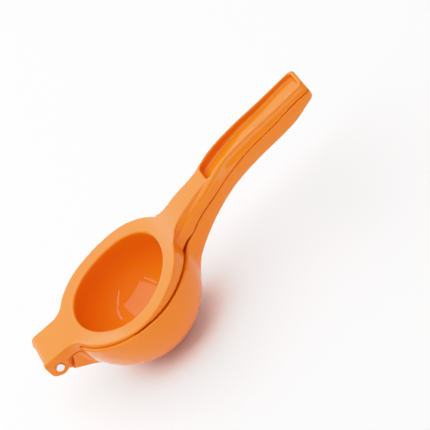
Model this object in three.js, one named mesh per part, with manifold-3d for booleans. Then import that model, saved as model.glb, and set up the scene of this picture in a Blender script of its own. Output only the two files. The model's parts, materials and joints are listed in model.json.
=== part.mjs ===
// Hand press for halved oranges: two cast aluminium arms joined by one hinge pin.
// The lower arm is a round cup with juice holes, the upper arm is a hollow dome that nests in it.
// Millimetres, +Z up, +X towards the handle ends. The origin is the centre of the flat land
// under the cup, so the rim of the closed press is level.

import * as THREE from 'three';
import { mergeVertices } from 'three/addons/utils/BufferGeometryUtils.js';
import Module from 'manifold-3d';

const wasm = await Module();
wasm.setup();

// ---- driving dimensions -------------------------------------------------------------------

const CUP_R = 52.8;                 // outside of the cup, a sphere
const CUP_WALL = 3.2;
const LAND_R = 11;                  // flat land under the cup
const CUP_Z = Math.sqrt(CUP_R ** 2 - LAND_R ** 2);   // centre of the cup's sphere
const RIM_Z = CUP_Z + 7.5;          // reference plane of the rim, level with the hinge plate

const MOUTH_R = 39.4;               // hollow of the plunger, measured on the rim
const MOUTH_ROUND = 1.8;            // rounding of the mouth's edge
const BOWL_Z = RIM_Z - 6;           // centre of the plunger's dome
const PLUNGER_WALL = 3;
const FLANGE_R = 50.6;

const PIN_X = -67.5;
const PIN_Z = RIM_Z - 9.2;
const PIN_R = 2.5;
const PIN_HEAD_R = 3.1;
const PIN_HEAD = 1.1;               // height of each riveted head
const PIN_CLEARANCE = 0.3;

const PLATE_HALF = 16.8;            // half width across the hinge
const PLATE_FRONT_X = -76.3;
const PLATE_TOP = 0.3;              // height of the hinge plate over the rim plane
const PLATE_CORNER_R = 3.5;
const PLATE_FLARE = 7;              // where the plate's sides turn into the flange
const EAR_R = 7;                    // material round the pin below the hinge plate
const EAR_CHAMFER = 3.6;            // height of the slope at the ears' front
const BLOCK_DROP = 8.5;             // depth of the upper block beside the pin
const BLOCK_BACK_X = -57.3;         // where the ears end and the solid block starts
const SLOT_HALF = 10.4;             // slot between the ears
const TONGUE_HALF = 10;
const TONGUE_R = 6.5;
const SHOULDER_R = 10.9;            // hollow of the lower bracket, concentric with the pin
const SHOULDER_END = -1.12;         // angle at which that hollow meets the bracket's underside
const BRACKET_FOOT_X = -44;         // lowest point of the bracket, on the cup
const BRACKET_FOOT = 33;            // its depth under the rim plane
const INSIDE_CUP_X = -30;           // the bracket's blank ends here, within the cup's wall

const NECK_ROOT_HALF = 26;          // half width of the neck where it leaves the flange
const NECK_WAIST_X = 62;
const NECK_WAIST_HALF = 11;
const NECK_END_HALF = 8;

const HANDLE_END_X = 184.5;
const GRIP_HALF = 14;               // half width of both handles at the parting line
const GRIP_TOP_HALF = 10.6;         // half width at the top of the upper handle
const GRIP_BOTTOM_HALF = 12.3;
const GRIP_ROUND = 2.5;
const GRIP_WALL = 3;
const GRIP_CORNER_R = 6;            // corners of the handles' free ends, in plan
const CHANNEL_CORNER_R = 4;
const CHANNEL_END_X = HANDLE_END_X - 4;
const RECESS_X = 93;                // the upper channel starts here
const UNDER_CHANNEL_X = 62;         // the lower channel starts here
const PARTING_GAP = 0.5;

const HOLE_R = 2.4;                 // juice holes
const HOLE_RINGS = [{ count: 6, tilt: 18 }, { count: 12, tilt: 31 }];   // degrees off the axis

const SEGMENTS = 40;                // facets round the cup and the plunger
const PIN_SEGMENTS = 20;
const CURVE_SEGMENTS = 12;          // steps along each curve of an outline
const BLANK_BELOW = 12;             // blanks reach this far under the rim plane before trimming
const BLANK_ABOVE = 14;
const REACH = 200;                  // longer than the press, for tools that cut right through

// Side profiles, x and height over the rim plane, from the hinge to the handle's end.
const TOP_LINE = [[-90, 0.3], [-56, 0.3], [-38, -0.5], [-20, -1.4], [-4, -1.4], [10, 0], [25, 2.4],
  [36, 4.4], [43, 6.6], [51, 11], [59, 14.9], [69, 18.2], [80, 20.7], [93, 23.4], [98, 24.2]];
const GRIP_LINE = [[42, 5], [51, 9.6], [59, 12.9], [69, 16.3], [80, 19.2], [88, 21.4], [96, 24.4],
  [104, 27.2], [112, 29], [122, 30.3], [138, 31.4], [154, 32], [168, 32.9], [180, 33.6], [192, 33.8]];
const PARTING_LINE = [[-90, -3.6], [-20, -3.8], [8, -4.3], [25, -4.8], [38, -4.9], [44, -5.6],
  [48.5, -6], [54, -2.9], [62, 0.8], [68, 4.2], [77.6, 8.4], [91, 12.9], [100, 16.2], [109.4, 18.9],
  [118, 20.7], [131, 22.9], [149, 24.1], [164, 25.7], [180, 26.8], [192, 26.8]];
const BELLY_LINE = [[38, -34], [45, -28.7], [53, -22.8], [60.7, -17], [68.6, -11.6], [76.8, -6.6],
  [85.4, -2.2], [94.4, 1.8], [103, 4.9], [117, 8], [136, 10.2], [157, 11.8], [170, 14.6],
  [181, 18.6], [192, 19.6]];

// ---- solids -------------------------------------------------------------------------------

function solid(geometry) {
  geometry.deleteAttribute('normal');
  geometry.deleteAttribute('uv');
  const merged = mergeVertices(geometry, 1e-4);
  const corners = merged.index.array;
  const triangles = [];
  for (let i = 0; i < corners.length; i += 3) {
    const [a, b, c] = [corners[i], corners[i + 1], corners[i + 2]];
    if (a !== b && b !== c && c !== a) triangles.push(a, b, c);
  }
  return new wasm.Manifold(new wasm.Mesh({
    numProp: 3,
    vertProperties: new Float32Array(merged.attributes.position.array),
    triVerts: new Uint32Array(triangles),
  }));
}

function join(...solids) {
  return solids.reduce((whole, next) => whole.add(next));
}

// An outline in x and z, run across the press from y = -half to +half.
function acrossY(shape, half) {
  const geometry = new THREE.ExtrudeGeometry(
    shape, { depth: 2 * half, bevelEnabled: false, curveSegments: CURVE_SEGMENTS });
  geometry.rotateX(Math.PI / 2);
  geometry.translate(0, half, 0);
  return solid(geometry);
}

// An outline in x and y, run upwards between two heights.
function upwards(shape, low, high) {
  const geometry = new THREE.ExtrudeGeometry(
    shape, { depth: high - low, bevelEnabled: false, curveSegments: CURVE_SEGMENTS });
  geometry.translate(0, 0, low);
  return solid(geometry);
}

// A profile of [radius, z] pairs turned about the Z axis.
function turned(profile) {
  const geometry = new THREE.LatheGeometry(profile.map(([r, z]) => new THREE.Vector2(r, z)), SEGMENTS);
  geometry.rotateX(Math.PI / 2);
  return solid(geometry);
}

// The bore for the hinge pin, right across the hinge.
function pinBore() {
  const radius = PIN_R + PIN_CLEARANCE;
  const geometry = new THREE.CylinderGeometry(radius, radius, 2 * PLATE_HALF + 10, PIN_SEGMENTS);
  geometry.translate(PIN_X, 0, PIN_Z);
  return solid(geometry);
}

// Points of an arc about the axis, from one polar angle to another; 0 is straight down.
function arc(radius, centreZ, from, to, steps) {
  return Array.from({ length: steps + 1 }, (_, i) => {
    const a = from + (to - from) * i / steps;
    return [radius * Math.sin(a), centreZ - radius * Math.cos(a)];
  });
}

function line(points) {
  const curve = new THREE.SplineCurve(points.map(([x, z]) => new THREE.Vector2(x, z + RIM_Z)));
  return curve.getPoints(2 * (points.length - 1));
}

// Everything between a lower and an upper side profile, across the press.
function between(lower, upper, half) {
  return acrossY(new THREE.Shape([...lower, ...[...upper].reverse()]), half);
}

function above(points, lift, half) {
  const low = line(points).map((p) => new THREE.Vector2(p.x, p.y + lift));
  const high = [new THREE.Vector2(low[0].x, REACH), new THREE.Vector2(low.at(-1).x, REACH)];
  return between(low, high, half);
}

function below(points, lift, half) {
  const high = line(points).map((p) => new THREE.Vector2(p.x, p.y + lift));
  const low = [new THREE.Vector2(high[0].x, -REACH), new THREE.Vector2(high.at(-1).x, -REACH)];
  return between(low, high, half);
}

// ---- plan outlines ------------------------------------------------------------------------

// Hinge plate: a rounded rectangle whose sides flare into the round flange.
function hingePlan() {
  const shape = new THREE.Shape();
  const frontX = PLATE_FRONT_X;
  const corner = PLATE_CORNER_R;
  const flareHalf = PLATE_HALF + PLATE_FLARE;
  const meetX = -Math.sqrt(FLANGE_R ** 2 - flareHalf ** 2);
  const startX = -Math.sqrt(FLANGE_R ** 2 - PLATE_HALF ** 2) - PLATE_FLARE;
  shape.moveTo(0, flareHalf);
  shape.lineTo(meetX, flareHalf);
  shape.quadraticCurveTo(meetX - 2, PLATE_HALF, startX, PLATE_HALF);
  shape.lineTo(frontX + corner, PLATE_HALF);
  shape.quadraticCurveTo(frontX, PLATE_HALF, frontX, PLATE_HALF - corner);
  shape.lineTo(frontX, -PLATE_HALF + corner);
  shape.quadraticCurveTo(frontX, -PLATE_HALF, frontX + corner, -PLATE_HALF);
  shape.lineTo(startX, -PLATE_HALF);
  shape.quadraticCurveTo(meetX - 2, -PLATE_HALF, meetX, -flareHalf);
  shape.lineTo(0, -flareHalf);
  return shape;
}

// Neck plate: it narrows from the flange to the start of the channel.
function neckPlan(flangeHalf, waistX, waistHalf, endHalf) {
  const shape = new THREE.Shape();
  const meet = Math.sqrt(FLANGE_R ** 2 - flangeHalf ** 2);
  shape.moveTo(20, -flangeHalf);
  shape.lineTo(meet, -flangeHalf);
  shape.quadraticCurveTo(meet + 5, -waistHalf, waistX, -waistHalf);
  shape.lineTo(RECESS_X, -endHalf);
  shape.lineTo(RECESS_X, endHalf);
  shape.lineTo(waistX, waistHalf);
  shape.quadraticCurveTo(meet + 5, waistHalf, meet, flangeHalf);
  shape.lineTo(20, flangeHalf);
  return shape;
}

// A plan outline with round corners at its far end.
function gripPlan(startX, half, endX, corner) {
  const shape = new THREE.Shape();
  shape.moveTo(startX, -half);
  shape.lineTo(endX - corner, -half);
  shape.absarc(endX - corner, -half + corner, corner, -Math.PI / 2, 0, false);
  shape.lineTo(endX, half - corner);
  shape.absarc(endX - corner, half - corner, corner, 0, Math.PI / 2, false);
  shape.lineTo(startX, half);
  return shape;
}

// A round-ended slot in plan.
function slotPlan(startX, endX, half, round) {
  const shape = new THREE.Shape();
  shape.moveTo(startX + round, -half);
  shape.lineTo(endX - round, -half);
  shape.quadraticCurveTo(endX, -half, endX, -half + round);
  shape.lineTo(endX, half - round);
  shape.quadraticCurveTo(endX, half, endX - round, half);
  shape.lineTo(startX + round, half);
  shape.quadraticCurveTo(startX, half, startX, half - round);
  shape.lineTo(startX, -half + round);
  shape.quadraticCurveTo(startX, -half, startX + round, -half);
  return shape;
}

// A grip's drafted body: a section swept along its outer side profile, with rounded outer corners
// and sides that spread towards the parting line. side is 1 with that profile on top, -1 below.
function draftedSweep(points, outerHalf, depth, side) {
  const spread = (GRIP_HALF - outerHalf) / 9;
  const corner = [[depth, outerHalf + spread * depth], [GRIP_ROUND, outerHalf + spread * GRIP_ROUND],
    [0.3 * GRIP_ROUND, outerHalf - 0.25 * GRIP_ROUND], [0, outerHalf - GRIP_ROUND]];
  const outline = [...corner, ...corner.map(([inwards, y]) => [inwards, -y]).reverse()];
  const section = new THREE.Shape(outline.map(([inwards, y]) => new THREE.Vector2(y, side * inwards)));
  const path = new THREE.CatmullRomCurve3(
    points.map(([x, z]) => new THREE.Vector3(x, 0, z + RIM_Z)), false, 'centripetal');
  return solid(new THREE.ExtrudeGeometry(section, { extrudePath: path, steps: 24, bevelEnabled: false }));
}

// ---- plunger arm --------------------------------------------------------------------------

function dome() {
  const radius = MOUTH_R - 1 + PLUNGER_WALL;
  const top = RIM_Z + BLANK_ABOVE;
  return turned([...arc(radius, BOWL_Z, 0, Math.PI / 2, 9), [radius + 0.4, top], [0, top]]);
}

// The hollow of the plunger, with its rounded mouth following the dished rim.
function bowlHollow() {
  const inner = MOUTH_R - 0.7;
  const steps = 4;
  const mouth = Array.from({ length: steps + 1 }, (_, i) => {
    const a = (Math.PI / 2) * i / steps;
    return [inner + MOUTH_ROUND * (1 - Math.cos(a)), RIM_Z - 2.6 + MOUTH_ROUND * Math.sin(a)];
  });
  return turned([...arc(inner - 0.3, BOWL_Z, 0, Math.PI / 2, 9), ...mouth,
    [inner + MOUTH_ROUND, RIM_Z + BLANK_ABOVE], [0, RIM_Z + BLANK_ABOVE]]);
}

function ears() {
  const shape = new THREE.Shape();
  const foot = PIN_Z - EAR_R;
  shape.moveTo(PLATE_FRONT_X, RIM_Z + PLATE_TOP);
  shape.lineTo(PLATE_FRONT_X, foot + EAR_CHAMFER);
  shape.lineTo(PIN_X - 2.5, foot);
  shape.lineTo(PIN_X - 0.5, foot);
  shape.absarc(PIN_X, PIN_Z, EAR_R, -Math.PI / 2, 0, false);
  shape.lineTo(PIN_X + EAR_R, RIM_Z + PLATE_TOP);
  return acrossY(shape, PLATE_HALF);
}

function tongueSlot() {
  const shape = new THREE.Shape();
  const roof = PIN_Z + TONGUE_R + PARTING_GAP;
  const backX = BLOCK_BACK_X - 3;
  const openX = PLATE_FRONT_X - 5;
  shape.moveTo(openX, 0);
  shape.lineTo(backX, 0);
  shape.lineTo(backX, roof - 2);
  shape.lineTo(backX - 2, roof);
  shape.lineTo(openX, roof);
  return acrossY(shape, SLOT_HALF);
}

function plungerArm() {
  const rimTop = below(TOP_LINE, 0, REACH);
  const partingTop = above(PARTING_LINE, PARTING_GAP, REACH);
  const low = RIM_Z - BLANK_BELOW;
  const high = RIM_Z + BLANK_ABOVE;
  const flange = turned([[0, low], [FLANGE_R, low], [FLANGE_R, high], [0, high]]);
  const neck = upwards(neckPlan(NECK_ROOT_HALF, NECK_WAIST_X, NECK_WAIST_HALF, NECK_END_HALF), low, REACH);
  const plates = join(flange, neck).intersect(rimTop).intersect(partingTop);

  const cupSpaceR = CUP_R + PARTING_GAP;
  const cupSpaceTop = RIM_Z + PARTING_LINE[0][1] + PARTING_GAP;
  const cupSpace = turned([[0, 0], [cupSpaceR, 0], [cupSpaceR, cupSpaceTop], [0, cupSpaceTop]]);
  const block = upwards(hingePlan(), RIM_Z - BLOCK_DROP, RIM_Z + PLATE_TOP)
    .intersect(rimTop)
    .subtract(cupSpace);
  const earPlan = upwards(gripPlan(-BLOCK_BACK_X, PLATE_HALF, -PLATE_FRONT_X, PLATE_CORNER_R), 0, REACH)
    .rotate([0, 0, 180]);
  const hinge = join(block, ears().intersect(earPlan))
    .subtract(tongueSlot())
    .subtract(pinBore());

  const gripBody = draftedSweep(GRIP_LINE, GRIP_TOP_HALF, 26, 1)
    .intersect(above(PARTING_LINE, PARTING_GAP, REACH))
    .intersect(upwards(gripPlan(44, GRIP_HALF + 4, HANDLE_END_X, GRIP_CORNER_R), 0, REACH));
  const channelHalf = GRIP_TOP_HALF - GRIP_WALL + 0.4;
  const channel = upwards(slotPlan(RECESS_X, CHANNEL_END_X, channelHalf, CHANNEL_CORNER_R), 0, REACH)
    .intersect(above(PARTING_LINE, PARTING_GAP + GRIP_WALL - 0.6, REACH));

  return join(plates, hinge, dome().intersect(rimTop), gripBody)
    .subtract(bowlHollow())
    .subtract(channel);
}

// ---- cup arm ------------------------------------------------------------------------------

function bracket() {
  const shape = new THREE.Shape();
  const top = RIM_Z - BLOCK_DROP - PARTING_GAP;
  const foot = RIM_Z - BRACKET_FOOT;
  const from = Math.asin((top - PIN_Z) / SHOULDER_R);
  shape.moveTo(INSIDE_CUP_X, top);
  shape.lineTo(PIN_X + SHOULDER_R * Math.cos(from), top);
  shape.absarc(PIN_X, PIN_Z, SHOULDER_R, from, SHOULDER_END, true);
  shape.lineTo(BRACKET_FOOT_X, foot);
  shape.lineTo(INSIDE_CUP_X, foot);
  return acrossY(shape, PLATE_HALF);
}

function tongue() {
  const shape = new THREE.Shape();
  const rootX = PIN_X + SHOULDER_R + 0.6;
  shape.moveTo(rootX, RIM_Z - BLOCK_DROP - PARTING_GAP - 1.5);
  shape.lineTo(PIN_X + TONGUE_R, PIN_Z - 0.4);
  shape.absarc(PIN_X, PIN_Z, TONGUE_R, 0, -Math.PI / 2 - 0.35, false);
  shape.lineTo(PIN_X + 5, PIN_Z - SHOULDER_R + 1.2);
  shape.lineTo(rootX, PIN_Z - SHOULDER_R - 2);
  return acrossY(shape, TONGUE_HALF);
}

function juiceHoles() {
  const cutters = [];
  for (const { count, tilt } of HOLE_RINGS) {
    for (let i = 0; i < count; i += 1) {
      const geometry = new THREE.CylinderGeometry(HOLE_R, HOLE_R, 14, 10);
      geometry.rotateX(Math.PI / 2);
      geometry.translate(0, 0, -CUP_R + CUP_WALL / 2);
      geometry.rotateY(THREE.MathUtils.degToRad(-tilt));
      geometry.rotateZ(2 * Math.PI * (i + 0.5) / count);
      geometry.translate(0, 0, CUP_Z);
      cutters.push(solid(geometry));
    }
  }
  return join(...cutters);
}

function cupArm() {
  const rimBelow = below(PARTING_LINE, 0, REACH);
  const landAngle = Math.asin(LAND_R / CUP_R);
  const outside = turned([[0, 0], ...arc(CUP_R, CUP_Z, landAngle, Math.PI / 2, 10),
    [CUP_R - 0.4, RIM_Z - 7], [CUP_R - 1.7, RIM_Z - 4.5], [CUP_R - 1.9, RIM_Z + 4], [0, RIM_Z + 4]]);
  const innerR = CUP_R - CUP_WALL;
  const inside = turned([...arc(innerR, CUP_Z, 0, Math.PI / 2 - 0.25, 8),
    [innerR - 3, RIM_Z - 5], [innerR - 3, RIM_Z + 6], [0, RIM_Z + 6]]);

  const arm = draftedSweep(BELLY_LINE, GRIP_BOTTOM_HALF, 46, -1)
    .intersect(rimBelow)
    .intersect(upwards(gripPlan(40, GRIP_HALF, HANDLE_END_X, GRIP_CORNER_R), 0, REACH));
  const flare = upwards(neckPlan(20, 60, GRIP_HALF, GRIP_HALF - 2), 0, REACH)
    .intersect(rimBelow)
    .intersect(above(BELLY_LINE, 6, REACH));
  const channelHalf = GRIP_BOTTOM_HALF - GRIP_WALL;
  const channel = upwards(slotPlan(UNDER_CHANNEL_X, CHANNEL_END_X, channelHalf, CHANNEL_CORNER_R), 0, REACH)
    .intersect(below(PARTING_LINE, -GRIP_WALL, REACH));

  const hinge = join(bracket(), tongue()).subtract(pinBore());
  return join(outside.intersect(rimBelow), arm, flare, hinge)
    .subtract(channel)
    .subtract(inside)
    .subtract(juiceHoles());
}

// ---- hinge pin ----------------------------------------------------------------------------

function hingePin() {
  const face = PLATE_HALF + 0.3;
  const half = [[0, face + PIN_HEAD], [PIN_HEAD_R * 0.6, face + PIN_HEAD * 0.86],
    [PIN_HEAD_R, face + PIN_HEAD * 0.3], [PIN_HEAD_R, face], [PIN_R, face]];
  const mirrored = half.map(([r, y]) => [r, -y]).reverse();
  const points = [...half, ...mirrored].reverse().map(([r, y]) => new THREE.Vector2(r, y));
  const geometry = new THREE.LatheGeometry(points, PIN_SEGMENTS);
  geometry.translate(PIN_X, 0, PIN_Z);
  return solid(geometry);
}

// ---- assembly -----------------------------------------------------------------------------

function part(name, body, material) {
  const { vertProperties, triVerts } = body.getMesh();
  const geometry = new THREE.BufferGeometry();
  geometry.setAttribute('position', new THREE.BufferAttribute(new Float32Array(vertProperties), 3));
  geometry.setIndex(new THREE.BufferAttribute(new Uint32Array(triVerts), 1));
  geometry.computeVertexNormals();
  const mesh = new THREE.Mesh(geometry, material);
  mesh.name = name;
  return mesh;
}

const enamel = new THREE.MeshStandardMaterial({ color: 0xea7a1c, roughness: 0.28, metalness: 0 });
const cupEnamel = enamel.clone();
const steel = new THREE.MeshStandardMaterial({ color: 0xd8dad8, roughness: 0.3, metalness: 1 });

const press = new THREE.Group();
press.add(part('cup_arm', cupArm(), cupEnamel));
press.add(part('plunger_arm', plungerArm(), enamel));
press.add(part('hinge_pin', hingePin(), steel));

export default press;
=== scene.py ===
"""Looks of a hand press for halved oranges: two enamelled castings and a riveted steel pin.

The castings are modelled as signed distances in millimetres, with round fillets where their shapes
meet, and meshed on their surface. Inside the shape functions z is counted from the rim plane.
Everything handed to Blender is in metres, in the frame's own axes.
"""

import json
import math

import bpy
import numpy as np
import openvdb
from mathutils import Matrix, Vector


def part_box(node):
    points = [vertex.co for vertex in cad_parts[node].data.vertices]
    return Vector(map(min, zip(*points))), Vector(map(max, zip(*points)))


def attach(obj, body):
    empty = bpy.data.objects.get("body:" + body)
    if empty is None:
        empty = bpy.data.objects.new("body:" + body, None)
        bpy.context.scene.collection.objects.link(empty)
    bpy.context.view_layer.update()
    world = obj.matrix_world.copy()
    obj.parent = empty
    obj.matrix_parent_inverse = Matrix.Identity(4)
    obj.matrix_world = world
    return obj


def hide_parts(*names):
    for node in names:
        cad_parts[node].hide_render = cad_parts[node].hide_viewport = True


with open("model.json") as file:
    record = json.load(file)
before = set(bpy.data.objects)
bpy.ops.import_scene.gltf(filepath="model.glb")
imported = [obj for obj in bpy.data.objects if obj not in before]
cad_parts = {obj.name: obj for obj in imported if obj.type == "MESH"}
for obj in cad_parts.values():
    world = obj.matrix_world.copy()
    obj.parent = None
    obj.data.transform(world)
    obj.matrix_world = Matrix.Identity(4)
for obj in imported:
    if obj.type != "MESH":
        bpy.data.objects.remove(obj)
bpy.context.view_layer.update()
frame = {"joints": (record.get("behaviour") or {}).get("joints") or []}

MM = 0.001

# ---- dimensions taken from the frame --------------------------------------------------------

hinge = frame["joints"][0]
cup_low, cup_high = (np.array(corner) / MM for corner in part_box("cup_arm"))
arm_low, arm_high = (np.array(corner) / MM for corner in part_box("plunger_arm"))
pin_low, pin_high = (np.array(corner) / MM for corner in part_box("hinge_pin"))

PIN_X = hinge["pos_m"][0] / MM
PIN_Z = -9.2
RIM_Z = hinge["pos_m"][2] / MM - PIN_Z             # height of the rim plane over the ground
CUP_R = (cup_high[1] - cup_low[1]) / 2
END_X = arm_high[0] - 0.1                          # free end of the grips
FRONT_X = arm_low[0] + 0.05                        # hinge end
PIN_HEAD_R = (pin_high[0] - pin_low[0]) / 2
PIN_TIP_Y = pin_high[1]

# ---- dimensions of the castings -------------------------------------------------------------

# Cup.
CUP_Z = -7.5                                       # centre of the cup's sphere
CUP_WALL = 3.2
LIP_R = 46.6                                       # inside of the cup's thicker lip
LIP_FOOT_Z, BOWL_TOP_Z = -19.0, -12.0              # lowest of the lip's inside, highest of the bowl's
HOLE_R = 2.4
HOLE_START = 30.0                                  # from the sphere's centre
HOLE_RINGS = ((6, 18.0), (12, 31.0))               # count, degrees off the cup's axis

# Plunger and flange.
DOME_Z = -6.0                                      # centre of the plunger's dome
MOUTH_R, PLUNGER_WALL = 38.7, 2.7
FLANGE_R = 50.6

# Hinge. A slanted face is a point (x, z) on it and its outward direction.
HINGE_ROOT_X = -30.0                               # plate and bracket end here, inside the round part
PLATE_HALF, PLATE_CORNER = 16.8, 2.8
EAR_R, EAR_CHAMFER = 7.0, 3.6
EAR_FOOT_X = PIN_X - 2.5                           # where the chamfer meets the ear's foot
BLOCK_FRONT_X, BLOCK_END_X = -70.0, -47.0          # deep block of the upper arm, behind the cup
BLOCK_DROP, BLOCK_GAP = 8.5, 0.3
BRACKET_DRAFT = 0.09
BRACKET_UNDERSIDE = (-62.75, -19.0), (-0.598, -0.801)
SHOULDER_R = 10.9                                  # hollow round the ears
SLOT_HALF, SLOT_GAP = 10.4, 0.5
TONGUE_HALF, TONGUE_R = 10.0, 6.5
TONGUE_SLANT = (-70.0, -16.2), (-0.707, -0.707)
KEEL_DEPTH = 3.0                                   # web under the tongue, past the bracket's underside
WEB_TOP_Z, WEB_END_X = -10.1, -52.0
PIN_R, BORE_R = 2.5, 2.75

# Neck, grips and the seam between the arms. A table gives a value for each x.
NECK_ROOT_X = 30.0
NECK_HALF = ((40, 11.2), (59, 11.0), (64, 10.6), (70, 10.1), (80, 8.9), (94, 8.2))
UPPER_GRIP_X, LOWER_GRIP_X = 40.0, 42.0
GRIP_HALF, GRIP_TOP_HALF, GRIP_BOTTOM_HALF = 14.0, 10.6, 12.3
GRIP_SPREAD = 10.0                                 # depth over which a grip's side spreads
UPPER_GRIP_HALF = ((60, 12.6), (93, 12.2), (112, GRIP_TOP_HALF))
UPPER_GRIP_ROUND = ((60, 4.0), (93, 3.6), (112, 1.6))
GRIP_WALL, GRIP_TOP_WALL, CHANNEL_FLOOR = 3.0, 2.2, 2.6
TOP_CHANNEL_X, TOP_CHANNEL_WALL = 93.0, 3.0        # start of a channel, wall at the free end
LOW_CHANNEL_X, LOW_CHANNEL_WALL = 62.0, 4.0
PARTING_GAP = 0.5
SEAM_GAP = ((-30, 0.15), (0, 0.35), (40, 0.55), (80, 0.5), (110, 0.35))
BEND_X, BEND_REACH, BEND_GAP = 53.0, 6.0, 1.4      # wider gap at the bend of the neck
REBATE_START, REBATE_END = -10.0, 95.0
REBATE_IN, REBATE_DEEP = 1.6, 0.8

# Fillets where shapes meet.
PLATE_FILLET, EAR_FILLET, DOME_FILLET, UPPER_GRIP_FILLET = 7.0, 1.0, 2.5, 0.6
NECK_FILLET_LOW, NECK_FILLET_TOP, NECK_FILLET_DEPTH = 0.8, 15.0, 1.8
CUP_GRIP_FILLET, BRACKET_FILLET, LIP_FILLET = 6.0, 3.5, 2.0
WEB_FILLET, TONGUE_FILLET = 1.5, 0.8

# Rounded edges.
BORE_EDGE, HOLE_EDGE, SLOT_EDGE, REBATE_EDGE = 0.2, 0.6, 0.4, 0.3
UNDER_EDGE, TOP_EDGE, MOUTH_EDGE = 0.4, 0.7, 1.1
LAND_EDGE, CUP_EDGE, SEAM_EDGE = 1.0, 1.0, 0.9
BRACKET_EDGE, SHOULDER_EDGE, TONGUE_EDGE = 1.0, 0.8, 0.8
GRIP_END_EDGE, BELLY_EDGE, UPPER_GRIP_START_EDGE = 4.0, 3.0, 1.0
TOP_CHANNEL_CORNER, LOW_CHANNEL_CORNER, CHANNEL_EDGE = 3.5, 4.0, 2.0

# Steel pin: radius, and depth under the tip of its peened head.
RIVET_HEAD = ((0.0, 0.25), (0.7, 0.22), (1.05, 0.05), (1.4, 0.0), (1.9, 0.06), (2.5, 0.25), (2.9, 0.5),
              (PIN_HEAD_R, 0.85))
RIVET_FACE_Y = PLATE_HALF + 0.2                    # underside of the head
RIVET_CHAMFER = 0.12, 0.1
RIVET_SEGMENTS = 72

# Meshing.
VOXEL = 0.9
BAND = 4 * VOXEL                                   # distances are kept this far from the surface
SMOOTHING_PASSES, NEWTON_STEPS = 3, 2
LONGEST_STEP = 0.4 * VOXEL
PROBE = 0.02                                       # half the span over which a slope is measured
LEAST_STEEPNESS = 0.25                             # of the squared slope, so no step is wild

# ---- studio values, in metres and degrees ---------------------------------------------------

VIEW_AZIMUTH, VIEW_ELEVATION, VIEW_ROLL = 5.762, 37.963, -44.424
VIEW_DISTANCE, VIEW_ACROSS, VIEW_RISE = 1.515, 0.065651, 0.046097
LENS_MM = 185.65
FLOOR_HALF = 6.0
PANEL_HEIGHT = 1.56
WORLD_STRENGTH = 0.3

# Camera response: light and what it is shown as.
CAMERA_WHITE = 2.6
CAMERA_RESPONSE = ((0.12, 0.118), (0.25, 0.24), (0.6, 0.53), (0.9, 0.72), (1.3, 0.84), (1.7, 0.91),
                   (2.0, 0.975))

# ---- side profiles: x and height over the rim plane -----------------------------------------

TOP_LINE = [(-90, -18), (-80, -7), (-76, -2.6), (-74, -0.7), (-71.5, 0.2), (-68, 0.3), (-56, 0.3),
            (-38, -0.5), (-20, -1.4), (-4, -1.4), (10, 0), (25, 2.4), (36, 4.4), (43, 6.6), (51, 11),
            (59, 14.9), (69, 18.2), (80, 20.7), (93, 23.4), (98, 24.2)]
GRIP_LINE = [(42, 4.2), (51, 8.1), (59, 11.5), (69, 15.2), (80, 18.6), (88, 21.4), (96, 24.4), (104, 27.2),
             (112, 29), (122, 30.3), (138, 31.4), (154, 32), (168, 32.9), (180, 33.6), (192, 33.8)]
PARTING_LINE = [(-90, -3.6), (-20, -3.8), (8, -4.3), (25, -4.8), (38, -4.9), (44, -5.6), (48.5, -6),
                (54, -2.9), (62, 0.8), (68, 4.2), (77.6, 8.4), (91, 12.9), (100, 16.2), (109.4, 18.9),
                (118, 20.7), (131, 22.9), (149, 24.1), (164, 25.7), (180, 26.8), (192, 26.8)]
BELLY_LINE = [(38, -34), (45, -28.7), (53, -22.8), (60.7, -17), (68.6, -11.6), (76.8, -6.6), (85.4, -2.2),
              (94.4, 1.8), (103, 4.9), (117, 8), (136, 10.2), (157, 11.8), (170, 14.6), (181, 18.6),
              (192, 19.6)]


# ---- distance functions ---------------------------------------------------------------------

def round_join(a, b, r):
    """Union of two solids with a round inner corner."""
    return np.maximum(r, np.minimum(a, b)) - np.hypot(np.maximum(r - a, 0), np.maximum(r - b, 0))


def round_meet(a, b, r):
    """Intersection of two solids with a round outer edge."""
    return np.minimum(-r, np.maximum(a, b)) + np.hypot(np.maximum(r + a, 0), np.maximum(r + b, 0))


def round_cut(a, b, r):
    """The first solid without the second, with a round outer edge."""
    return round_meet(a, -b, r)


def rounded_span(x, y, start, end, half, r):
    """Rectangle with round corners, from start to end along x and half to each side of the middle."""
    dx, dy = np.abs(x - (start + end) / 2) - (end - start) / 2 + r, np.abs(y) - half + r
    return np.hypot(np.maximum(dx, 0), np.maximum(dy, 0)) + np.minimum(np.maximum(dx, dy), 0) - r


def slanted_face(x, z, point, outwards):
    return (x - point[0]) * outwards[0] + (z - point[1]) * outwards[1]


def around_pin(x, z, radius):
    return np.hypot(x - PIN_X, z - PIN_Z) - radius


def bowl(r, z, centre_z, radius):
    """Half a ball with a straight pipe above its centre."""
    return np.sqrt(r ** 2 + np.minimum(z - centre_z, 0) ** 2) - radius


def ease(value, low, high):
    """Smooth step from 0 at low to 1 at high."""
    t = np.clip((value - low) / (high - low), 0, 1)
    return t * t * (3 - 2 * t)


def from_table(x, table):
    """Value at x, straight between the table's entries."""
    places, values = zip(*table)
    return np.interp(x, places, values)


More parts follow.
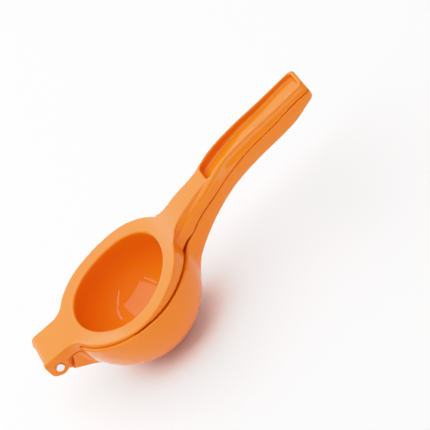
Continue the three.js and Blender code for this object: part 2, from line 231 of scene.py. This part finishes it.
class Profile:
    """A smooth height over x: the natural cubic spline through a few points."""

    STEP = 0.1

    def __init__(self, points):
        x, z = np.array(points, float).T
        n = len(x)
        h, rise = np.diff(x), np.diff(z) / np.diff(x)
        system = np.eye(n)
        bend = np.zeros(n)
        for i in range(1, n - 1):
            system[i, i - 1:i + 2] = h[i - 1], 2 * (h[i - 1] + h[i]), h[i]
            bend[i] = 6 * (rise[i] - rise[i - 1])
        curve = np.linalg.solve(system, bend)
        self.x = np.arange(x[0], x[-1], self.STEP)
        i = np.clip(np.searchsorted(x, self.x, side="right") - 1, 0, n - 2)
        t = self.x - x[i]
        start = rise[i] - h[i] * (2 * curve[i] + curve[i + 1]) / 6
        self.z = z[i] + t * (start + t * (curve[i] / 2 + t * (curve[i + 1] - curve[i]) / (6 * h[i])))
        self.slope = np.gradient(self.z, self.STEP)

    def height(self, x):
        return np.interp(x, self.x, self.z)

    def over(self, x, z, lift=0.0):
        """Distance above the profile, negative below it."""
        return (z - self.height(x) - lift) / np.hypot(1, np.interp(x, self.x, self.slope))


top_line, grip_line, parting_line, belly_line = map(
    Profile, (TOP_LINE, GRIP_LINE, PARTING_LINE, BELLY_LINE))


def seam_gap(x):
    """The arms stand further apart at the bend of the neck."""
    return from_table(x, SEAM_GAP) + BEND_GAP * np.exp(-((x - BEND_X) / BEND_REACH) ** 2)


def grip_side(w, depth, outer_half):
    """Side of a grip: it spreads from its outer face to the parting surface in a soft S."""
    return w - outer_half - (GRIP_HALF - outer_half) * ease(depth, 0, GRIP_SPREAD)


def plunger_arm(x, y, z):
    """Upper casting: plunger, flange, hinge plate with its ears, neck and upper grip."""
    w, r = np.abs(y), np.hypot(x, y)
    above_parting = -parting_line.over(x, z, seam_gap(x))

    # Plan of the flange with its hinge plate and its neck.
    hinge_plan = rounded_span(x, y, FRONT_X, HINGE_ROOT_X, PLATE_HALF, PLATE_CORNER)
    neck_plan = np.maximum(w - from_table(x, NECK_HALF), np.maximum(NECK_ROOT_X - x, x - TOP_CHANNEL_X))
    depth = np.maximum(top_line.height(x) - z, 0)
    neck_fillet = NECK_FILLET_LOW + NECK_FILLET_TOP * np.exp(-depth / NECK_FILLET_DEPTH)
    plan = round_join(round_join(r - FLANGE_R, hinge_plan, PLATE_FILLET), neck_plan, neck_fillet)

    # The underside: the parting surface, the deep block beside the cup, and the ears.
    foot = PIN_Z - EAR_R
    slope = (EAR_FOOT_X - FRONT_X) / EAR_CHAMFER
    chamfer = ((foot - z) + (EAR_FOOT_X - x) / slope) / math.hypot(1, 1 / slope)
    ear_front = np.maximum(np.maximum(FRONT_X - x, foot - z), np.maximum(chamfer, x - PIN_X - EAR_R))
    ear_back = np.hypot(np.maximum(x - PIN_X, 0), np.minimum(z - PIN_Z, 0)) - EAR_R
    ear = np.where(x > PIN_X, ear_back, ear_front)
    block = np.maximum(-BLOCK_DROP - z, BLOCK_FRONT_X - x)
    hinge_side = np.maximum(round_join(block, ear, EAR_FILLET), x - BLOCK_END_X)
    under = np.minimum(np.maximum(above_parting, BLOCK_FRONT_X - x), hinge_side)
    body = round_meet(plan, under, UNDER_EDGE)

    # Slot for the tongue, and the bore for the pin.
    slot = np.maximum(z - PIN_Z - TONGUE_R - SLOT_GAP, x - PIN_X - EAR_R - SLOT_GAP)
    body = round_cut(body, np.maximum(w - SLOT_HALF, slot), SLOT_EDGE)
    body = round_cut(body, around_pin(x, z, BORE_R), BORE_EDGE)

    body = round_join(body, bowl(r, z, DOME_Z, MOUTH_R + PLUNGER_WALL), DOME_FILLET)
    body = round_meet(body, top_line.over(x, z), TOP_EDGE)

    # Upper grip: sides that spread towards the parting surface, and an open channel on top.
    side = grip_side(w, grip_line.height(x) - z, from_table(x, UPPER_GRIP_HALF))
    grip = round_meet(side, x - END_X, GRIP_END_EDGE)
    grip = round_meet(grip, grip_line.over(x, z), from_table(x, UPPER_GRIP_ROUND))
    grip = round_meet(grip, above_parting, TOP_EDGE)
    grip = round_meet(grip, UPPER_GRIP_X - x, UPPER_GRIP_START_EDGE)
    body = round_join(body, grip, UPPER_GRIP_FILLET)
    channel = rounded_span(x, y, TOP_CHANNEL_X, END_X - TOP_CHANNEL_WALL,
                           GRIP_TOP_HALF - GRIP_TOP_WALL, TOP_CHANNEL_CORNER)
    channel = round_meet(channel, -parting_line.over(x, z, PARTING_GAP + CHANNEL_FLOOR), CHANNEL_EDGE)
    body = round_cut(body, channel, TOP_EDGE)

    return round_cut(body, bowl(r, z, DOME_Z, MOUTH_R), MOUTH_EDGE)


def cup_arm(x, y, z):
    """Lower casting: perforated cup, hinge bracket with its tongue, neck and lower grip."""
    w, r = np.abs(y), np.hypot(x, y)
    body = round_meet(bowl(r, z, CUP_Z, CUP_R), -RIM_Z - z, LAND_EDGE)

    # Lower grip and neck.
    side = grip_side(w, z - belly_line.height(x), GRIP_BOTTOM_HALF)
    grip = round_meet(round_meet(side, x - END_X, GRIP_END_EDGE), -belly_line.over(x, z), BELLY_EDGE)
    body = round_join(body, np.maximum(grip, LOWER_GRIP_X - x), CUP_GRIP_FILLET)

    # Hinge bracket with its hollow shoulder.
    underside = slanted_face(x, z, *BRACKET_UNDERSIDE)
    bracket_side = w - PLATE_HALF + BRACKET_DRAFT * np.maximum(-BLOCK_DROP - z, 0)
    bracket = round_meet(np.maximum(underside, x - HINGE_ROOT_X), bracket_side, BRACKET_EDGE)
    body = round_join(body, bracket, BRACKET_FILLET)
    beside_block = np.maximum(x - BLOCK_END_X - BLOCK_GAP, -BLOCK_DROP - PARTING_GAP - z)
    body = round_cut(body, beside_block, REBATE_EDGE)
    body = round_cut(body, around_pin(x, z, SHOULDER_R), SHOULDER_EDGE)
    body = np.maximum(body, PIN_X - x)

    # Parting surface, and a rebate inside the seam.
    body = round_meet(body, parting_line.over(x, z), SEAM_EDGE)
    inset = -np.minimum(r - CUP_R, np.maximum(w - GRIP_HALF, x - END_X))
    rebate = np.maximum(np.maximum(REBATE_START - x, x - REBATE_END), REBATE_IN - inset)
    rebate = np.maximum(rebate, -parting_line.over(x, z, -REBATE_DEEP))
    body = round_cut(body, rebate, REBATE_EDGE)

    # Channel under the grip.
    channel = rounded_span(x, y, LOW_CHANNEL_X, END_X - LOW_CHANNEL_WALL,
                           GRIP_BOTTOM_HALF - GRIP_WALL, LOW_CHANNEL_CORNER)
    channel = round_meet(channel, parting_line.over(x, z, -REBATE_DEEP - GRIP_WALL), CHANNEL_EDGE)
    body = round_cut(body, channel, SEAM_EDGE)

    # Inside of the cup, with its thicker lip.
    inner = np.maximum(bowl(r, z, CUP_Z, CUP_R - CUP_WALL), z - BOWL_TOP_Z)
    hollow = round_join(inner, np.maximum(r - LIP_R, LIP_FOOT_Z - z), LIP_FILLET)
    body = round_cut(body, hollow, CUP_EDGE)

    # Tongue that turns on the pin between the ears, and the web behind it.
    keel = np.maximum(slanted_face(x, z, *TONGUE_SLANT), underside - KEEL_DEPTH)
    web = np.maximum(np.maximum(z - WEB_TOP_Z, keel), np.maximum(PIN_X - x, x - WEB_END_X))
    tongue = round_join(around_pin(x, z, TONGUE_R), web, WEB_FILLET)
    tongue = round_meet(tongue, w - TONGUE_HALF, TONGUE_EDGE)
    body = round_join(body, tongue, TONGUE_FILLET)
    body = round_cut(body, around_pin(x, z, BORE_R), BORE_EDGE)

    # Juice holes, square to the cup's wall.
    for count, tilt in HOLE_RINGS:
        polar = math.radians(tilt)
        for i in range(count):
            turn = 2 * math.pi * (i + 0.5) / count
            axis = (math.sin(polar) * math.cos(turn), math.sin(polar) * math.sin(turn), -math.cos(polar))
            along = x * axis[0] + y * axis[1] + (z - CUP_Z) * axis[2]
            off = np.sqrt(np.maximum(x ** 2 + y ** 2 + (z - CUP_Z) ** 2 - along ** 2, 0))
            hole = np.maximum(off - HOLE_R, HOLE_START - along)
            body = round_cut(body, hole, HOLE_EDGE)
    return body


# ---- meshing --------------------------------------------------------------------------------

def surface(distance, low, high):
    """Points and quads on the zero surface of a distance function inside a box, in millimetres."""
    axes = [np.arange(a - 2 * VOXEL, b + 3 * VOXEL, VOXEL) for a, b in zip(low, high)]
    x, y, z = np.meshgrid(*axes, indexing="ij", sparse=True)
    values = distance(x, y, z).astype(np.float32)
    grid = openvdb.FloatGrid(BAND)
    grid.copyFromArray(np.clip(values, -BAND, BAND))
    points, quads = grid.convertToQuads()
    points = points * VOXEL + np.array([axis[0] for axis in axes])
    return settle(points, quads, distance), quads


def settle(points, quads, distance):
    """Evens the quads out and puts every vertex on the surface."""
    sides = [quads[:, [i, (i + 1) % 4]] for i in range(4)]
    start, end = np.vstack(sides).astype(np.int64).T
    count = len(points)
    degree = np.bincount(start, minlength=count) + np.bincount(end, minlength=count)
    for _ in range(SMOOTHING_PASSES):
        total = np.stack([np.bincount(start, points[end, k], count)
                          + np.bincount(end, points[start, k], count) for k in range(3)], 1)
        points = on_surface(points * 0.5 + 0.5 * total / degree[:, None], distance)
    return on_surface(points, distance)


def on_surface(points, distance):
    """Moves the points to where the distance is zero, along its slope."""
    for _ in range(NEWTON_STEPS):
        x, y, z = points.T
        slope = np.stack([distance(x + PROBE, y, z) - distance(x - PROBE, y, z),
                          distance(x, y + PROBE, z) - distance(x, y - PROBE, z),
                          distance(x, y, z + PROBE) - distance(x, y, z - PROBE)], 1) / (2 * PROBE)
        steepness = np.maximum((slope ** 2).sum(1), LEAST_STEEPNESS)
        step = (distance(x, y, z) / steepness)[:, None] * slope
        length = np.linalg.norm(step, axis=1, keepdims=True)
        points = points - step * np.minimum(1, LONGEST_STEP / np.maximum(length, 1e-9))
    return points


def in_frame(points):
    """From millimetres over the rim plane to the frame's metres."""
    return ((np.array(points) + [0, 0, RIM_Z]) * MM).tolist()


def mesh_object(name, points, faces, material):
    """A smooth mesh in the scene, from lists of points and faces."""
    mesh = bpy.data.meshes.new(name)
    mesh.from_pydata(points, [], faces)
    mesh.validate()
    mesh.polygons.foreach_set("use_smooth", [True] * len(mesh.polygons))
    mesh.materials.append(material)
    obj = bpy.data.objects.new(name, mesh)
    bpy.context.scene.collection.objects.link(obj)
    return obj


def casting(name, distance, low, high, material):
    """The casting of a distance function, which lies inside a box given from the ground up."""
    points, quads = surface(distance, low - [0, 0, RIM_Z], high - [0, 0, RIM_Z])
    return mesh_object(name, in_frame(points), quads.tolist(), material)


# ---- materials ------------------------------------------------------------------------------

def new_material(name, **inputs):
    """A node material, with values for the inputs of its shader."""
    material = bpy.data.materials.new(name)
    material.use_nodes = True
    shader = material.node_tree.nodes["Principled BSDF"]
    for socket, value in inputs.items():
        shader.inputs[socket.replace("_", " ")].default_value = value
    return material, shader


def noise(material, scale, detail=2):
    """A noise texture in the object's own coordinates."""
    nodes = material.node_tree.nodes
    texture = nodes.new("ShaderNodeTexNoise")
    texture.inputs["Scale"].default_value = scale
    texture.inputs["Detail"].default_value = detail
    place = nodes.new("ShaderNodeTexCoord")
    material.node_tree.links.new(place.outputs["Object"], texture.inputs["Vector"])
    return texture


def enamel(name):
    """Glossy orange stove enamel with a faint orange-peel surface."""
    material, shader = new_material(name, Roughness=0.04, Specular_IOR_Level=0.18)
    nodes, links = material.node_tree.nodes, material.node_tree.links
    tint = nodes.new("ShaderNodeMix")
    tint.data_type = "RGBA"
    tint.inputs["A"].default_value = (0.76, 0.144, 0.004, 1)
    tint.inputs["B"].default_value = (0.74, 0.135, 0.004, 1)
    links.new(noise(material, scale=40).outputs["Fac"], tint.inputs["Factor"])
    links.new(tint.outputs["Result"], shader.inputs["Base Color"])
    bump = nodes.new("ShaderNodeBump")
    bump.inputs["Strength"].default_value = 0.04
    bump.inputs["Distance"].default_value = 0.0002
    links.new(noise(material, scale=900, detail=1).outputs["Fac"], bump.inputs["Height"])
    links.new(bump.outputs["Normal"], shader.inputs["Normal"])
    return material


def steel(name):
    """Bare steel with a fine uneven polish."""
    material, shader = new_material(name, Metallic=1, Base_Color=(0.68, 0.66, 0.64, 1))
    nodes, links = material.node_tree.nodes, material.node_tree.links
    rough = nodes.new("ShaderNodeMapRange")
    rough.inputs["To Min"].default_value = 0.22
    rough.inputs["To Max"].default_value = 0.4
    links.new(noise(material, scale=1500).outputs["Fac"], rough.inputs["Value"])
    links.new(rough.outputs["Result"], shader.inputs["Roughness"])
    return material


# ---- pieces ---------------------------------------------------------------------------------

def rivet_pin(material):
    """Steel pin with peened heads, turned about Y."""
    chamfer_r, chamfer_y = RIVET_CHAMFER
    half = [(r, PIN_TIP_Y - depth) for r, depth in RIVET_HEAD]
    half += [(PIN_HEAD_R, RIVET_FACE_Y + chamfer_y), (PIN_HEAD_R - chamfer_r, RIVET_FACE_Y),
             (PIN_R, RIVET_FACE_Y)]
    turns = [2 * math.pi * i / RIVET_SEGMENTS for i in range(RIVET_SEGMENTS)]
    points, rings = [], []
    for r, y in half + [(r, -y) for r, y in reversed(half)]:
        around = turns if r > 0 else [0]
        rings.append(range(len(points), len(points) + len(around)))
        points += [(PIN_X + r * math.cos(a), y, PIN_Z + r * math.sin(a)) for a in around]
    faces = []
    for low, high in zip(rings, rings[1:]):
        for i in range(RIVET_SEGMENTS):
            j = (i + 1) % RIVET_SEGMENTS
            quad = [low[i % len(low)], low[j % len(low)], high[j % len(high)], high[i % len(high)]]
            faces.append(list(dict.fromkeys(quad)))        # a triangle where a ring is one point
    return mesh_object("rivet_pin", in_frame(points), faces, material)


orange = enamel("orange_enamel")
cup = casting("cup_casting", cup_arm, cup_low, cup_high, orange)
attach(cup, "lower_arm")
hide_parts("cup_arm")

plunger = casting("plunger_casting", plunger_arm, arm_low, arm_high, orange)
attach(plunger, "upper_arm")
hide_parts("plunger_arm")

pin = rivet_pin(steel("rivet_steel"))
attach(pin, "upper_arm")
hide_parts("hinge_pin")



# ---- studio ---------------------------------------------------------------------------------

def floor():
    """A wide pale floor under the press."""
    half = FLOOR_HALF
    corners = [(-half, -half, 0), (half, -half, 0), (half, half, 0), (-half, half, 0)]
    material, _ = new_material("pale_floor", Base_Color=(0.93, 0.93, 0.93, 1), Roughness=0.7)
    obj = mesh_object("floor", corners, [(0, 1, 2, 3)], material)


def softbox(name, position, turned, size, radiance):
    """A rectangular light of even brightness; unturned it faces straight down."""
    data = bpy.data.lights.new(name, "AREA")
    data.shape = "RECTANGLE"
    data.size, data.size_y = size
    data.energy = radiance * math.pi * size[0] * size[1]
    obj = bpy.data.objects.new(name, data)
    bpy.context.scene.collection.objects.link(obj)
    obj.location = position
    obj.rotation_euler = [math.radians(angle) for angle in turned]


def surroundings():
    """Even white light from all sides."""
    world = bpy.data.worlds.new("studio")
    bpy.context.scene.world = world
    world.use_nodes = True
    background = world.node_tree.nodes["Background"]
    background.inputs["Color"].default_value = (1, 1, 1, 1)
    background.inputs["Strength"].default_value = WORLD_STRENGTH


def camera():
    """The photograph's view, measured from the middle of the rim."""
    azimuth, elevation, roll = map(math.radians, (VIEW_AZIMUTH, VIEW_ELEVATION, VIEW_ROLL))
    right = Vector((math.cos(azimuth), math.sin(azimuth), 0))
    back = Vector((math.sin(azimuth) * math.cos(elevation), -math.cos(azimuth) * math.cos(elevation),
                   math.sin(elevation)))
    up = back.cross(right)
    right, up = (math.cos(roll) * right + math.sin(roll) * up, math.cos(roll) * up - math.sin(roll) * right)
    place = Vector((0, 0, RIM_Z * MM)) + back * VIEW_DISTANCE + right * VIEW_ACROSS + up * VIEW_RISE
    data = bpy.data.cameras.new("camera")
    data.lens = LENS_MM
    data.clip_start, data.clip_end = 0.05, 50
    obj = bpy.data.objects.new("camera", data)
    obj.matrix_world = Matrix.Translation(place) @ Matrix((right, up, back)).transposed().to_4x4()
    bpy.context.scene.collection.objects.link(obj)
    bpy.context.scene.camera = obj


def exposure_curve():
    """A camera's response: true in the shadows and middle tones, with a long shoulder into white."""
    settings = bpy.context.scene.view_settings
    settings.view_transform = "Standard"
    settings.use_curve_mapping = True
    mapping = settings.curve_mapping
    mapping.white_level = (CAMERA_WHITE,) * 3
    curve = mapping.curves[3]
    curve.points[0].location = (0, 0)
    curve.points[1].location = (1, 1)
    for light, shown in CAMERA_RESPONSE:
        curve.points.new(light / CAMERA_WHITE, shown)
    mapping.update()


floor()
softbox("ceiling_panel", (-0.43, 0.36, PANEL_HEIGHT), (0, 0, 19), (2.07, 2.64), 4.1)
softbox("back_panel", (-0.9, 3.0, 1.5), (-90, 0, 0), (3.4, 2.8), 2.8)
softbox("front_panel", (0.0, -3.0, 0.35), (90, 0, 0), (5.0, 0.6), 4.6)
softbox("strip_left", (-1.60, -0.60, PANEL_HEIGHT), (0, 0, 11), (0.16, 1.2), 8)
softbox("strip_right", (1.20, -1.33, PANEL_HEIGHT), (0, 0, -24), (0.20, 1.6), 7)
softbox("strip_side", (1.60, 0.02, PANEL_HEIGHT), (0, 0, 4), (0.20, 1.0), 7)
surroundings()
camera()
exposure_curve()
